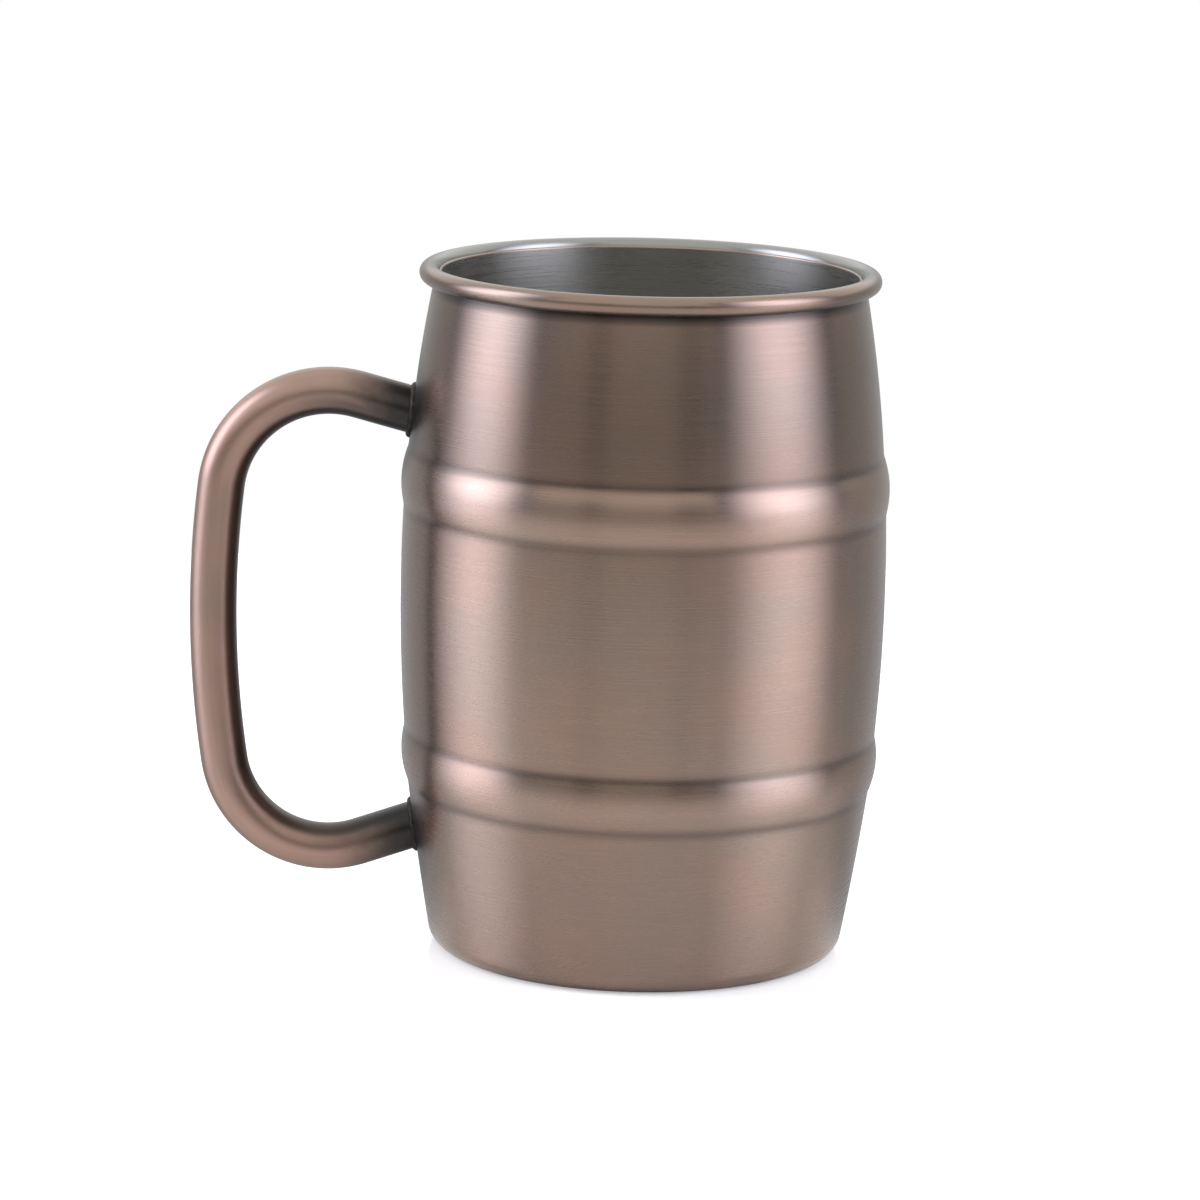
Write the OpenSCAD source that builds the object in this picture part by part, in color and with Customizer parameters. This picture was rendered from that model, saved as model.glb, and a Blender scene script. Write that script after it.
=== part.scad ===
// Double-walled steel drinking mug in the shape of a small keg, with a bent tube handle.
// Lengths are in millimetres. The mug's axis is Z, its foot stands on Z = 0,
// and the handle points to -X.

/* [Overall] */
// Height from the table to the top of the rolled rim
mug_h = 120; // [118:0.5:124]
// Thickness of the outer shell's sheet
shell_t = 0.5; // [0.4:0.05:0.6]
// Thickness of the liner's sheet and of the base plate
liner_t = 0.5; // [0.4:0.05:0.6]

/* [Foot] */
// Radius of the flat ring that the mug stands on
foot_r = 32.8; // [32:0.2:34]
// Rounding between the foot and the wall
foot_corner_r = 3.6; // [2.5:0.1:4.5]
// Width of the foot's turned-in lip
foot_lip_w = 3.4; // [2.5:0.1:5]
// How far the middle of the base plate is pressed up from the foot's lip
base_panel_rise = 1.2; // [0.6:0.1:1.6]

/* [Barrel] */
// Height of the lower hoop's bottom edge
lower_hoop_z = 29.2; // [27:0.2:31]
// Height of the upper hoop's bottom edge
upper_hoop_z = 78; // [76:0.2:80]
// Height of the band that each hoop is rolled into
hoop_w = 9.4; // [8:0.2:11]
// How far each hoop stands proud of the wall
hoop_proud = 0.8; // [0.5:0.1:1.2]
// Wall radius at the lower hoop's bottom edge
lower_hoop_r = 40.4; // [39.6:0.1:41]
// Wall radius at the ends of the middle wall, between the hoops
middle_r = 41.5; // [41:0.1:42]
// How much wider the middle wall is at the upper hoop than at the lower one
middle_taper = 0.7; // [0:0.1:1]
// Bow of the wall between two hoops
wall_bow = 0.6; // [0.2:0.1:1]

/* [Rim] */
// Radius from the mug's axis to the middle of the rolled rim
rim_r = 38.15; // [37.4:0.05:38.6]
// Radius of the rolled rim's section
rim_bead_r = 1.65; // [1.4:0.05:1.9]

/* [Liner] */
// Height of the drinking cup's floor above the table
liner_floor_z = 6; // [5:0.5:10]
// Rounding between the liner's floor and its wall
liner_corner_r = 9; // [6:0.5:12]
// How much the liner narrows from its mouth to its floor
liner_taper = 1.2; // [0.6:0.1:2]

/* [Handle] */
// Outer diameter of the handle's tube
tube_d = 8.2; // [7.5:0.1:9]
// Wall thickness of the handle's tube
tube_wall = 0.8; // [0.6:0.1:1.2]
// Distance from the mug's axis to the middle of the grip
handle_reach = 74.8; // [71:0.2:79]
// Height where the upper leg meets the wall
upper_joint_z = 94; // [92:0.5:97]
// Height where the lower leg meets the wall
lower_joint_z = 20.3; // [18:0.1:22]
// Angle by which the upper leg rises away from the wall
upper_leg_rise = 14.6; // [8:0.2:20]
// Angle by which the lower leg drops away from the wall
lower_leg_drop = 19.3; // [12:0.1:24]
// Bend radius between the upper leg and the grip
upper_bend_r = 19; // [15:0.5:22]
// Bend radius between the lower leg and the grip
lower_bend_r = 18.2; // [15:0.1:22]
// Radius of the grip's slight outward bow
grip_bow_r = 181; // [120:1:300]
// Height of the grip's outermost point
grip_z = 59.2; // [56:0.2:62]
// Radius of the weld bead round each end of the handle
weld_r = 1; // [0.7:0.1:1.3]

/* [Hidden] */
$fn = 96;

copper = "#8f7668";
dark_copper = "#4c4038";
steel = "#8d8f8c";

// The foot's corner turns up until the wall leans out by this angle
wall_lean = 10;
// The wall runs into the rolled rim at this angle on the rim's section
rim_start = 191;
// The sheet is rolled down and round to this angle
rim_end = -105;
rim_centre = [rim_r, mug_h - rim_bead_r];
// Distance from the rim section's middle to the sheet's inner face
rim_curl_r = rim_bead_r - shell_t;

// The walls below and above the hoops bow less than the long one between them
lower_wall_bow = wall_bow * 0.25;
upper_wall_bow = wall_bow * 0.75;

// The liner's mouth stands this far inside the rolled rim, and this far above its middle
liner_gap = 0.05;
liner_rise = 0.1;
liner_mouth_r = rim_r - rim_bead_r - liner_gap - liner_t;
liner_top_z = mug_h - rim_bead_r + liner_rise;

// The base plate ends this far short of the foot's rounding
base_plate_gap = 1;
base_plate_r = foot_r - base_plate_gap;
// Width of the flat ring that shows inside the foot's lip
base_flat_w = 1.5;
// Width of the slope between the flat ring and the raised middle
base_step_w = 1.5;
base_panel_r = foot_r - foot_lip_w - base_flat_w - base_step_w;
// Radii of the beads that close the rim and the base
rim_seam_r = 0.29;
base_seam_r = 0.42;

tube_r = tube_d / 2;
// Each leg starts this far inside the wall, and the wall's curve cuts it off
leg_overrun = 4;
// The legs and the grip reach this far into the bends, with their walls a hair thinner,
// so that the stretches of tube join cleanly
nest = 0.5;
nest_step = 0.02;

// Number of straight steps along each kind of curve
corner_steps = 8;
short_wall_steps = 6;
wall_steps = 10;
hoop_steps = 12;
curl_steps = 24;
bead_steps = 12;
// Roundness of the weld beads, and of the barrel where it cuts them
weld_fn = 180;
cut_fn = 256;

// ---- Plane curves: lists of points [distance from the axis, height] ----

function unit(v) = v / norm(v);
function turned(v) = [v[1], -v[0]];
function rest_of(p) = [for (i = [1 : len(p) - 1]) p[i]];
function backwards(p) = [for (i = [len(p) - 1 : -1 : 0]) p[i]];
function arc(c, r, from, to, n) =
    [for (i = [0 : n]) let (a = from + (to - from) * i / n) c + r * [cos(a), sin(a)]];
// A line from p to q that bows outwards by the given height at its middle
function bowed(p, q, bow, n) =
    [for (i = [0 : n]) let (t = i / n) p + t * (q - p) + 4 * t * (1 - t) * bow * turned(unit(q - p))];
function heading(p, i) = unit(p[min(i + 1, len(p) - 1)] - p[max(i - 1, 0)]);
// The same line, moved sideways: a positive distance moves it to its outer side
function beside(p, d) = [for (i = [0 : len(p) - 1]) p[i] + d * turned(heading(p, i))];

// Outer face of the barrel, from the foot up to the rim
foot_corner = arc([foot_r, foot_corner_r], foot_corner_r, -90, -wall_lean, corner_steps);
foot_top = foot_corner[len(foot_corner) - 1];
lower_hoop_bottom = [lower_hoop_r, lower_hoop_z];
lower_hoop_top = [middle_r - middle_taper / 2, lower_hoop_z + hoop_w];
upper_hoop_bottom = [middle_r + middle_taper / 2, upper_hoop_z];
upper_hoop_top = [middle_r - middle_taper / 2, upper_hoop_z + hoop_w + middle_taper];
neck = rim_centre + rim_curl_r * [cos(rim_start), sin(rim_start)];
barrel_face = concat(
    [[foot_r - foot_lip_w, 0]],
    foot_corner,
    rest_of(bowed(foot_top, lower_hoop_bottom, lower_wall_bow, short_wall_steps)),
    rest_of(bowed(lower_hoop_bottom, lower_hoop_top, hoop_proud, hoop_steps)),
    rest_of(bowed(lower_hoop_top, upper_hoop_bottom, wall_bow, wall_steps)),
    rest_of(bowed(upper_hoop_bottom, upper_hoop_top, hoop_proud, hoop_steps)),
    rest_of(bowed(upper_hoop_top, neck, upper_wall_bow, wall_steps))
);
rim_curl = rest_of(arc(rim_centre, rim_curl_r, rim_start, rim_end, curl_steps));
shell_face = concat(barrel_face, rim_curl);

// Radius and lean of the barrel's wall at a height on one of its walls
function wall_r(z) = lookup(z, [for (p = rest_of(barrel_face)) [p[1], p[0]]]);
function lean_at(z) = atan((wall_r(z + 1) - wall_r(z - 1)) / 2);

// Inner face of the liner, from the middle of its floor up to its mouth
liner_foot_r = liner_mouth_r - liner_taper;
liner_face = concat(
    [[0, liner_floor_z]],
    arc(
        [liner_foot_r - liner_corner_r, liner_floor_z + liner_corner_r], liner_corner_r,
        -90, 0, corner_steps
    ),
    [[liner_mouth_r, liner_top_z]]
);

// Under face of the base plate, from its middle to its rim
base_face = [
    [0, shell_t + base_panel_rise],
    [base_panel_r, shell_t + base_panel_rise],
    [base_panel_r + base_step_w, shell_t],
    [base_plate_r, shell_t]
];

// ---- The handle's centre line, in the plane of X and Z ----

grip_centre = [handle_reach - grip_bow_r, grip_z];
upper_joint = [wall_r(upper_joint_z), upper_joint_z];
lower_joint = [wall_r(lower_joint_z), lower_joint_z];
upper_leg = [cos(upper_leg_rise), sin(upper_leg_rise)];
lower_leg = [cos(lower_leg_drop), -sin(lower_leg_drop)];
upper_inside = turned(upper_leg);
lower_inside = -turned(lower_leg);
// Centre of the bend that touches a leg on its inner side and the grip's bow from within
function bend_centre(joint, leg, inside, r) =
    let (a = joint + r * inside, g = a - grip_centre, b = g * leg)
    a + leg * (sqrt(b * b - g * g + (grip_bow_r - r) * (grip_bow_r - r)) - b);
upper_bend = bend_centre(upper_joint, upper_leg, upper_inside, upper_bend_r);
lower_bend = bend_centre(lower_joint, lower_leg, lower_inside, lower_bend_r);
function angle_of(v) = atan2(v[1], v[0]);
grip_top_a = angle_of(upper_bend - grip_centre);
grip_bottom_a = angle_of(lower_bend - grip_centre);

// ---- Building blocks ----

// The section of a thin sheet: a positive thickness goes to the inner side of its face
module sheet(face, t) {
    polygon(concat(face, backwards(beside(face, -t))));
}

module shell_section() {
    sheet(shell_face, shell_t);
}

module liner_section() {
    sheet(liner_face, -liner_t);
}

module base_section() {
    sheet(base_face, liner_t);
}

// Everything inside the barrel's outer face, drawn finely because small beads are cut by it
module barrel_space() {
    rotate_extrude($fn = cut_fn)
        polygon(concat([[0, 0]], barrel_face, [[0, neck[1]]]));
}

// The section of the handle's tube, or of a solid bar when bore_r is 0
module tube_section(r, bore_r) {
    difference() {
        circle(r = r);
        if (bore_r > 0) circle(r = bore_r);
    }
}

// A bent stretch of tube in the plane of X and Z
module tube_bend(centre, bend_r, from, to, r, bore_r) {
    translate([centre[0], 0, centre[1]])
        rotate([90, 0, 0])
            rotate([0, 0, from])
                rotate_extrude(angle = to - from)
                    translate([bend_r, 0])
                        tube_section(r, bore_r);
}

// A straight leg, from inside the wall to a little way into its bend
module tube_leg(joint, leg, bend, inside, bend_r, r, bore_r) {
    start = joint - leg_overrun * leg;
    end = bend - bend_r * inside + nest * leg;
    translate([start[0], 0, start[1]])
        rotate([0, 90 - angle_of(leg), 0])
            linear_extrude(norm(end - start))
                tube_section(r, bore_r);
}

module upper_tube_leg(r, bore_r) {
    tube_leg(upper_joint, upper_leg, upper_bend, upper_inside, upper_bend_r, r, bore_r);
}

module lower_tube_leg(r, bore_r) {
    tube_leg(lower_joint, lower_leg, lower_bend, lower_inside, lower_bend_r, r, bore_r);
}

// A bead round one leg of the handle, lying in the plane of the wall at its joint
module weld_bead(joint) {
    translate([joint[0], 0, joint[1]])
        rotate([0, 90 + lean_at(joint[1]), 0])
            rotate_extrude($fn = weld_fn)
                translate([tube_r, 0])
                    circle(r = weld_r);
}

// ---- Sub-parts ----

module outer_shell() {
    color(copper)
        rotate_extrude()
            shell_section();
}

module inner_cup() {
    color(steel)
        rotate_extrude()
            liner_section();
}

module rim_weld() {
    color(copper)
        rotate_extrude()
            polygon(arc([liner_mouth_r + liner_t / 2, liner_top_z], rim_seam_r, 0, 180, bead_steps));
}

module base_plate() {
    color(copper)
        rotate_extrude()
            base_section();
}

module base_weld() {
    corner = [foot_r - foot_lip_w, shell_t];
    color(dark_copper)
        rotate_extrude()
            polygon(concat([corner], arc(corner, base_seam_r, 180, 270, corner_steps)));
}

module handle() {
    bore_r = tube_r - tube_wall;
    grip_nest = nest / grip_bow_r * 180 / PI;
    color(copper)
        rotate([0, 0, 180])
            difference() {
                union() {
                    tube_bend(upper_bend, upper_bend_r, grip_top_a, 90 + upper_leg_rise, tube_r, bore_r);
                    tube_bend(lower_bend, lower_bend_r, -90 - lower_leg_drop, grip_bottom_a, tube_r, bore_r);
                    tube_bend(
                        grip_centre, grip_bow_r, grip_bottom_a - grip_nest, grip_top_a + grip_nest,
                        tube_r - nest_step, bore_r + nest_step
                    );
                    upper_tube_leg(tube_r - nest_step, bore_r + nest_step);
                    lower_tube_leg(tube_r - nest_step, bore_r + nest_step);
                }
                barrel_space();
            }
}

module upper_handle_weld() {
    color(dark_copper)
        rotate([0, 0, 180])
            difference() {
                weld_bead(upper_joint);
                upper_tube_leg(tube_r, 0);
                barrel_space();
            }
}

module lower_handle_weld() {
    color(dark_copper)
        rotate([0, 0, 180])
            difference() {
                weld_bead(lower_joint);
                lower_tube_leg(tube_r, 0);
                barrel_space();
            }
}

outer_shell();
inner_cup();
rim_weld();
base_plate();
base_weld();
handle();
upper_handle_weld();
lower_handle_weld();
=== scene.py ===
# %% [markdown]
# # A barrel mug in antique copper
#
# The mug is made of thin steel sheet: an outer shell rolled like a small keg, a plain steel
# liner inside it, a base plate, and a bent tube for a handle. The outside is plated with
# copper, darkened, brushed round the barrel, and lacquered.
#
# The sizes come from the CAD model, which is loaded first as a fixed frame. Every piece made
# here stands for one of its nodes, in the same place and at the same size, and only adds what
# the eye wants: rounded creases, a fine section, brush marks, and painted light: painted shade
# in the corners and creases, a painted highlight on the hoops and a painted grey sheen on the rim.

# %% Load the fixed frame
import math

import bmesh
import bpy
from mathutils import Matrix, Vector


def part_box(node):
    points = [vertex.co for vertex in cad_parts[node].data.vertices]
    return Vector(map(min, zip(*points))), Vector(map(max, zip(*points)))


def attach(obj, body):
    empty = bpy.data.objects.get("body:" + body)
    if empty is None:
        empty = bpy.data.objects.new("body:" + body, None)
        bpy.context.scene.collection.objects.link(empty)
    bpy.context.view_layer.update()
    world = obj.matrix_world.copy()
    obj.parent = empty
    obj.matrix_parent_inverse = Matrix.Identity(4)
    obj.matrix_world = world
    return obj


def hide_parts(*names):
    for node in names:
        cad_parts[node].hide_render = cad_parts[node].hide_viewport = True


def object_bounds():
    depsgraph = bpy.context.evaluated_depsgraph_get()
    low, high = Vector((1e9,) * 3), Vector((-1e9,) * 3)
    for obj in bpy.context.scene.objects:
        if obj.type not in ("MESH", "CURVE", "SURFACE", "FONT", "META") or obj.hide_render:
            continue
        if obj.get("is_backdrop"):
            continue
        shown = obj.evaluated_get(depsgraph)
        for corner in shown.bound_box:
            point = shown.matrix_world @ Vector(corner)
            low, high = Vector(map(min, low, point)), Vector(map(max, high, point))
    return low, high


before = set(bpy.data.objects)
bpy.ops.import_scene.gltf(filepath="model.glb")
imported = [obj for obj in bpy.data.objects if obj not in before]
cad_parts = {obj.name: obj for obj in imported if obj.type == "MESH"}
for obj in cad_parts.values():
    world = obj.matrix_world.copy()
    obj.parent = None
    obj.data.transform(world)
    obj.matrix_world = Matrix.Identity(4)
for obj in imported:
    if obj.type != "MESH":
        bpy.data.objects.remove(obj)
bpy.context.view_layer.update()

# %% [markdown]
# ## Three small helpers
#
# Sizes are written in millimetres and turned to metres where a mesh is made. Colours are
# written as sRGB hex values, the way a maker reads them off a sample, and one function turns
# them to the linear values that the shaders work in. One function adds a node to any tree:
# its settings and its inputs are given together, and an input can be a value or a link.

# %% Helpers for sizes, colours and nodes
MM = 0.001


def linear(hex_colour):
    """A colour such as #927969 as linear red, green, blue and alpha."""
    parts = [int(hex_colour[i:i + 2], 16) / 255 for i in (1, 3, 5)]
    return [c / 12.92 if c <= 0.04045 else ((c + 0.055) / 1.055) ** 2.4 for c in parts] + [1.0]


def add(tree, kind, inputs=None, **settings):
    """Adds a node. Each input is a value, another node's socket, or a node, for its first output."""
    node = tree.nodes.new(kind)
    for name, value in settings.items():
        setattr(node, name, value)
    for name, value in (inputs or {}).items():
        if isinstance(value, bpy.types.Node):
            value = next(s for s in value.outputs if s.enabled)
        if isinstance(value, bpy.types.NodeSocket):
            tree.links.new(value, node.inputs[name])
        else:
            node.inputs[name].default_value = value
    return node


print("copper plate in linear light:", [round(c, 3) for c in linear("#927969")])

# %% [markdown]
# ## The camera
#
# A long lens well back from the mug keeps the barrel's sides nearly parallel, as a product
# picture does. It looks down by 11 degrees, just enough to show the inside of the rim, and is
# turned by a degree or so about its own axis.

# %% Camera
LENS = 150
CAMERA_DISTANCE = 0.8714
LOOK_DOWN = math.radians(11.42)
ROLL = math.radians(1.38)
AIM_X = -0.0074
AIM_HEIGHT = 0.51

mug_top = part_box("outer_shell")[1].z
aim = Vector((AIM_X, 0, AIM_HEIGHT * mug_top))
back = Vector((0, -math.cos(LOOK_DOWN), math.sin(LOOK_DOWN)))
camera = bpy.data.objects.new("camera", bpy.data.cameras.new("camera"))
bpy.context.scene.collection.objects.link(camera)
camera.data.lens = LENS
camera.data.sensor_width = 36
camera.location = aim + CAMERA_DISTANCE * back
camera.rotation_euler = (math.pi / 2 - LOOK_DOWN, 0, 0)
camera.rotation_euler.rotate_axis("Z", ROLL)
bpy.context.scene.camera = camera
bpy.context.scene.view_settings.view_transform = "Standard"
print("camera at", [round(v, 3) for v in camera.location])

# %% [markdown]
# ## The light
#
# Polished metal has almost no colour of its own: it shows the room. A round barrel shows a
# whole half circle of the room, so the light is built as what the barrel should mirror. Two
# tall softboxes stand to the left and right, for the two bright columns on the barrel. The
# room in front is dim, for the quiet middle, and overhead it is bright. Two low black flags, a
# little to the left and right of the camera, give the darker bands at both sides of that middle.
#
# A softbox is a plane with a glow that fades at its edges, because a fabric diffuser is
# brightest in the middle. The camera doesn't see it: it only lights and is mirrored. Light
# sources of Blender's own would do as well, but a plane's glow can be shaped with nodes.

# %% Softboxes and flags
STAND_OFF = 2.4
SOFTBOX_TINT = (0.95, 0.99, 1.2, 1)
SOFTBOX = {"high": 3.4, "fade_x": 0.5, "fade_z": (0.05, 0.3)}
FLAG = {"high": 0.8, "fade_x": 0.4, "fade_z": (0.3, 0.4), "strength": 0.0}
EASED = {"interpolation_type": "SMOOTHSTEP"}


def standing_plane(name, side_angle, width, high, strength, fade_x, fade_z):
    """An upright plane that stands on the floor and faces the mug, at an angle to the left
    (negative) or right of the camera. Its glow fades towards its edges, over the given parts
    of its width and height. With no strength it is a black flag."""
    turn = math.radians(side_angle)
    middle = Vector((math.sin(turn), -math.cos(turn), 0)) * STAND_OFF
    along = Vector((math.cos(turn), math.sin(turn), 0)) * width / 2
    corners = [middle - along, middle + along, middle + along, middle - along]
    mesh = bpy.data.meshes.new(name)
    mesh.from_pydata([c + Vector((0, 0, h)) for c, h in zip(corners, (0, 0, high, high))],
                     [], [(0, 1, 2, 3)])
    uv = mesh.uv_layers.new(name="face")
    for loop, corner in zip(uv.data, [(0, 0), (1, 0), (1, 1), (0, 1)]):
        loop.uv = corner
    cloth = bpy.data.materials.new(name)
    cloth.use_nodes = True
    tree = cloth.node_tree
    tree.nodes.clear()
    place = add(tree, "ShaderNodeSeparateXYZ", {0: add(tree, "ShaderNodeUVMap", uv_map="face")})
    power = strength
    for axis, ends in ((0, (fade_x, fade_x)), (1, fade_z)):
        for start, end in ((0, ends[0]), (1, 1 - ends[1])):
            fade = add(tree, "ShaderNodeMapRange", {
                "Value": place.outputs[axis], "From Min": start, "From Max": end}, **EASED)
            power = add(tree, "ShaderNodeMath", {0: power, 1: fade}, operation="MULTIPLY")
    shine = add(tree, "ShaderNodeEmission", {"Color": SOFTBOX_TINT, "Strength": power})
    add(tree, "ShaderNodeOutputMaterial", {"Surface": shine})
    mesh.materials.append(cloth)
    plane = bpy.data.objects.new(name, mesh)
    bpy.context.scene.collection.objects.link(plane)
    plane.visible_camera = False
    plane.visible_shadow = False
    plane.visible_diffuse = strength > 0
    plane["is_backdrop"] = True


standing_plane("left_softbox", side_angle=-88, width=3.0, strength=5.5, **SOFTBOX)
standing_plane("right_softbox", side_angle=70, width=3.5, strength=4.5, **SOFTBOX)
standing_plane("left_flag", side_angle=-25, width=0.5, **FLAG)
standing_plane("right_flag", side_angle=21, width=0.6, **FLAG)
print("two softboxes and two flags,", STAND_OFF, "m from the mug")

# %% [markdown]
# ## Floor and room
#
# The floor is a sheet of white acrylic. What the mug mirrors of it is painted: a painted shadow
# makes it dimmer behind the mug, where little light falls, and a painted glow makes it brighter at
# the two sides, where the softboxes would spill over it.
# The room is a world shader that depends only on direction. Rays from the camera get plain
# white from both, so the mug stands on a clean pale ground.

# %% Floor
FLOOR_W = 2.4
FLOOR_D = 0.7
FLOOR_WHITE = (0.86, 0.86, 0.85, 1)
FLOOR_MIRRORED = (0.74, 0.72, 0.7, 1)
FLOOR_PAINTED_SHADOW = (0.23, 0.23, 0.23, 1)
FLOOR_PAINTED_SPILL = 0.2
FLOOR_GLOW = 0.36

floor_mesh = bpy.data.meshes.new("floor")
floor_mesh.from_pydata(
    [(x * FLOOR_W / 2, y * FLOOR_D / 2, 0) for x, y in ((-1, -1), (1, -1), (1, 1), (-1, 1))],
    [], [(0, 1, 2, 3)])
floor = bpy.data.objects.new("floor", floor_mesh)
bpy.context.scene.collection.objects.link(floor)
acrylic = bpy.data.materials.new("white acrylic table")
acrylic.use_nodes = True
tree = acrylic.node_tree
principled = tree.nodes["Principled BSDF"]
spot = add(tree, "ShaderNodeVectorMath", {0: add(tree, "ShaderNodeTexCoord").outputs["Object"]},
           operation="NORMALIZE")
heading = add(tree, "ShaderNodeSeparateXYZ", {0: spot})
sideways = add(tree, "ShaderNodeMath", {0: heading.outputs["X"]}, operation="ABSOLUTE")
behind = add(tree, "ShaderNodeMapRange", {
    "Value": heading.outputs["Y"], "From Min": -0.2, "From Max": 0.45}, **EASED)
beside_mug = add(tree, "ShaderNodeMapRange", {
    "Value": sideways, "From Min": 0.6, "From Max": 0.88, "To Max": FLOOR_PAINTED_SPILL}, **EASED)
in_front = add(tree, "ShaderNodeMapRange", {
    "Value": heading.outputs["Y"], "From Min": 0.2, "From Max": -0.3}, **EASED)
# A painted pool of light: in what the mug mirrors, the floor glows beside the mug, towards the front.
painted_spill = add(tree, "ShaderNodeMath", {0: beside_mug, 1: in_front}, operation="MULTIPLY")
seen = add(tree, "ShaderNodeLightPath").outputs["Is Camera Ray"]
# A painted shadow: in what the mug mirrors, the floor's colour is dimmer behind the mug.
mirrored = add(tree, "ShaderNodeMix", {0: behind, 6: FLOOR_MIRRORED, 7: FLOOR_PAINTED_SHADOW}, data_type="RGBA")
shown = add(tree, "ShaderNodeMix", {
    0: seen, 6: mirrored.outputs["Result"], 7: FLOOR_WHITE}, data_type="RGBA")
tree.links.new(shown.outputs["Result"], principled.inputs["Base Color"])
glow = add(tree, "ShaderNodeMix", {0: seen, 2: painted_spill, 3: FLOOR_GLOW}, data_type="FLOAT")
tree.links.new(glow.outputs[0], principled.inputs["Emission Strength"])
principled.inputs["Emission Color"].default_value = (1, 1, 1, 1)
principled.inputs["Roughness"].default_value = 0.15
floor_mesh.materials.append(acrylic)
floor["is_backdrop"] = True
print("floor", FLOOR_W, "by", FLOOR_D, "m")

# %% Room
ROOM_FRONT = 0.16
ROOM_BACK = 0.46
ROOM_OVERHEAD = 1.2
ROOM_BELOW = 1.05
CEILING_FROM, CEILING_TO = 0.14, 0.32
GROUND_FROM, GROUND_TO = -0.03, -0.17

world = bpy.data.worlds.new("studio")
bpy.context.scene.world = world
world.use_nodes = True
tree = world.node_tree
tree.nodes.clear()
towards = add(tree, "ShaderNodeSeparateXYZ", {0: add(tree, "ShaderNodeTexCoord").outputs["Generated"]})
horizon = add(tree, "ShaderNodeMapRange", {
    "Value": towards.outputs["Y"], "From Min": -0.5, "From Max": 0.5,
    "To Min": ROOM_FRONT, "To Max": ROOM_BACK}, **EASED)
up = add(tree, "ShaderNodeMapRange", {
    "Value": towards.outputs["Z"], "From Min": CEILING_FROM, "From Max": CEILING_TO}, **EASED)
down = add(tree, "ShaderNodeMapRange", {
    "Value": towards.outputs["Z"], "From Min": GROUND_FROM, "From Max": GROUND_TO}, **EASED)
room = add(tree, "ShaderNodeMix", {0: up, 2: horizon, 3: ROOM_OVERHEAD}, data_type="FLOAT")
below = add(tree, "ShaderNodeMapRange", {
    "Value": towards.outputs["Y"], "From Min": -0.5, "From Max": 0.7,
    "To Min": ROOM_BELOW, "To Max": ROOM_BACK}, **EASED)
room = add(tree, "ShaderNodeMix", {0: down, 2: room, 3: below}, data_type="FLOAT")
seen = add(tree, "ShaderNodeLightPath").outputs["Is Camera Ray"]
strength = add(tree, "ShaderNodeMix", {0: seen, 2: room, 3: 1.0}, data_type="FLOAT")
ground = add(tree, "ShaderNodeBackground", {"Color": (1, 1, 1, 1), "Strength": strength})
add(tree, "ShaderNodeOutputWorld", {"Surface": ground})
print("room: front", ROOM_FRONT, "back", ROOM_BACK, "overhead", ROOM_OVERHEAD)

# %% [markdown]
# ## Antique copper
#
# Antique copper is a thin copper plate on steel that is darkened with a chemical bath, then
# brushed, so that the high places come back as brown-pink metal and the corners stay nearly
# black. A clear lacquer keeps it so. To the eye that is a metal of low, brownish brightness,
# long streaks round the barrel, highlights that spread up and down across the brush marks,
# and a faint white gloss on top.
#
# Real brush marks are about 0.05 mm wide. They are drawn 0.35 mm wide here, the finest that
# still shows at the picture's size. Each piece stores the attribute "grain", which gives every
# point its place along and across the brushing, so that the marks follow the shape.

# %% Streaks that follow the brushing
STREAK_W = 0.35 * MM
STREAK_L = 14 * MM
CLOUD = 16 * MM


def streaks(tree, grain, width, length, lengthwise, detail):
    """Noise drawn out along the brushing: round a turned piece, or lengthwise on a tube."""
    thin, long = 1 / width, 1 / length
    spread = (thin, thin, long) if lengthwise else (long, long, thin)
    placed = add(tree, "ShaderNodeVectorMath", {0: grain, 1: spread}, operation="MULTIPLY")
    return add(tree, "ShaderNodeTexNoise", {
        "Vector": placed, "Scale": 1.0, "Detail": detail, "Roughness": 0.55}).outputs["Fac"]


def layered(tree, ground, layers):
    """A ground colour with others laid over it in turn, each by its own amount."""
    tone = linear(ground)
    for amount, colour in layers:
        over = add(tree, "ShaderNodeMix", {0: amount, 6: tone, 7: linear(colour)}, data_type="RGBA")
        tone = over.outputs["Result"]
    return tone


print("brush marks", STREAK_W / MM, "mm wide and", STREAK_L / MM, "mm long")

# %% The two places where the handle is welded on
RAGGED = 3.0 * MM

joints = []
for node in ("upper_handle_weld", "lower_handle_weld"):
    low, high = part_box(node)
    joints.append((low + high) / 2)
print("handle joints in mm:", [[round(v / MM, 1) for v in j] for j in joints])


def near_joint(tree, place, noise, inner, outer):
    """1 beside a handle joint, fading to 0 further off, with a ragged edge."""
    away = [add(tree, "ShaderNodeVectorMath", {0: place, 1: j}, operation="DISTANCE") for j in joints]
    nearest = add(tree, "ShaderNodeMath", {
        0: away[0].outputs["Value"], 1: away[1].outputs["Value"]}, operation="MINIMUM")
    ragged = add(tree, "ShaderNodeMath", {0: noise, 1: RAGGED, 2: nearest}, operation="MULTIPLY_ADD")
    return add(tree, "ShaderNodeMapRange", {
        "Value": ragged, "From Min": inner + RAGGED / 2, "From Max": outer + RAGGED / 2,
        "To Min": 1.0, "To Max": 0.0}, **EASED)


# %% Antique copper, brushed and lacquered
LEG_SHADE_FROM = 4 * MM
LEG_SHADE_TO = 29 * MM
MARK_DEPTH = 0.004 * MM
DENT_DEPTH = 0.10 * MM
PATINA_ROUGHNESS = 0.42


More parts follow.
